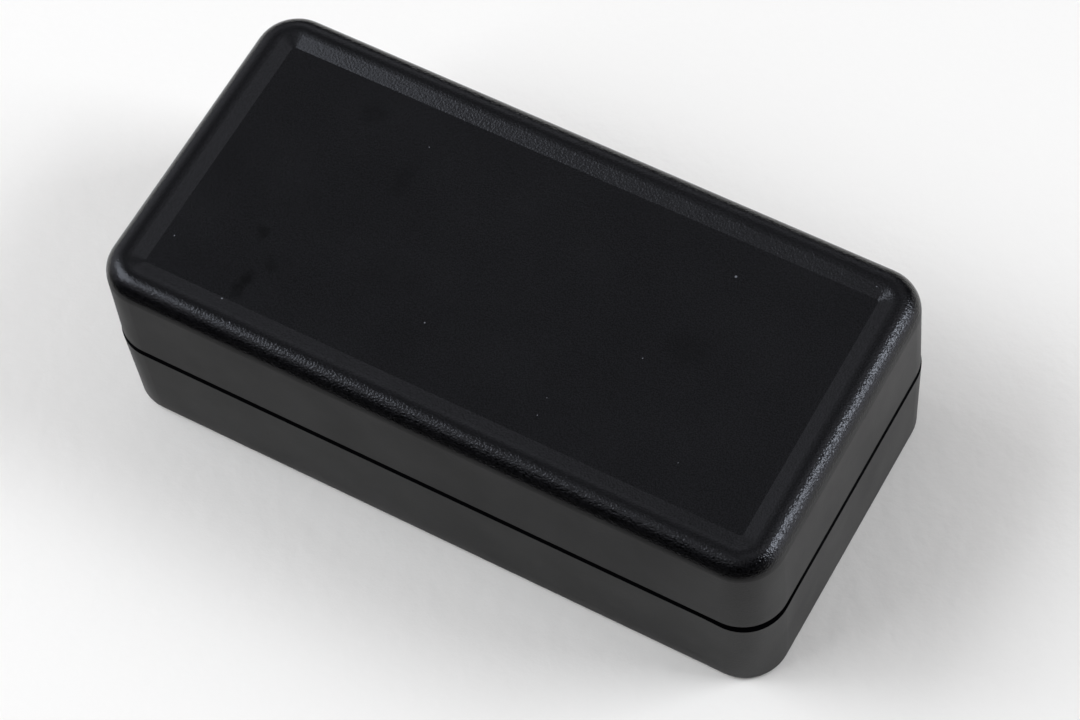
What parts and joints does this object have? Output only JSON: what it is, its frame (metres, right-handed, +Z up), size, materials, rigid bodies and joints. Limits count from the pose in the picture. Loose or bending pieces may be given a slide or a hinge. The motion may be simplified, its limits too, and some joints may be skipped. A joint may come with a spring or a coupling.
{
  "type": "plastic project box",
  "caption": "Small black plastic enclosure in two moulded shells, with a recessed label area on top, a lipped rim joint, inner bosses and screws from beneath.",
  "frame": {"origin": "middle of the underside, on the surface that the box stands on", "axes": "+X along the length of the box, +Y across it from the front to the back, +Z up out of the cover"},
  "size_m": [0.0802, 0.0398, 0.0255],
  "materials": {
    "case_plastic": "fine moulded texture, satin black",
    "screw_steel": "plain zinc-plated steel"
  },
  "bodies": {
    "root": {"cover": "case_plastic", "base": "case_plastic", "screw_front_left": "screw_steel", "screw_front_right": "screw_steel", "screw_back_left": "screw_steel", "screw_back_right": "screw_steel"}
  },
  "joints": []
}
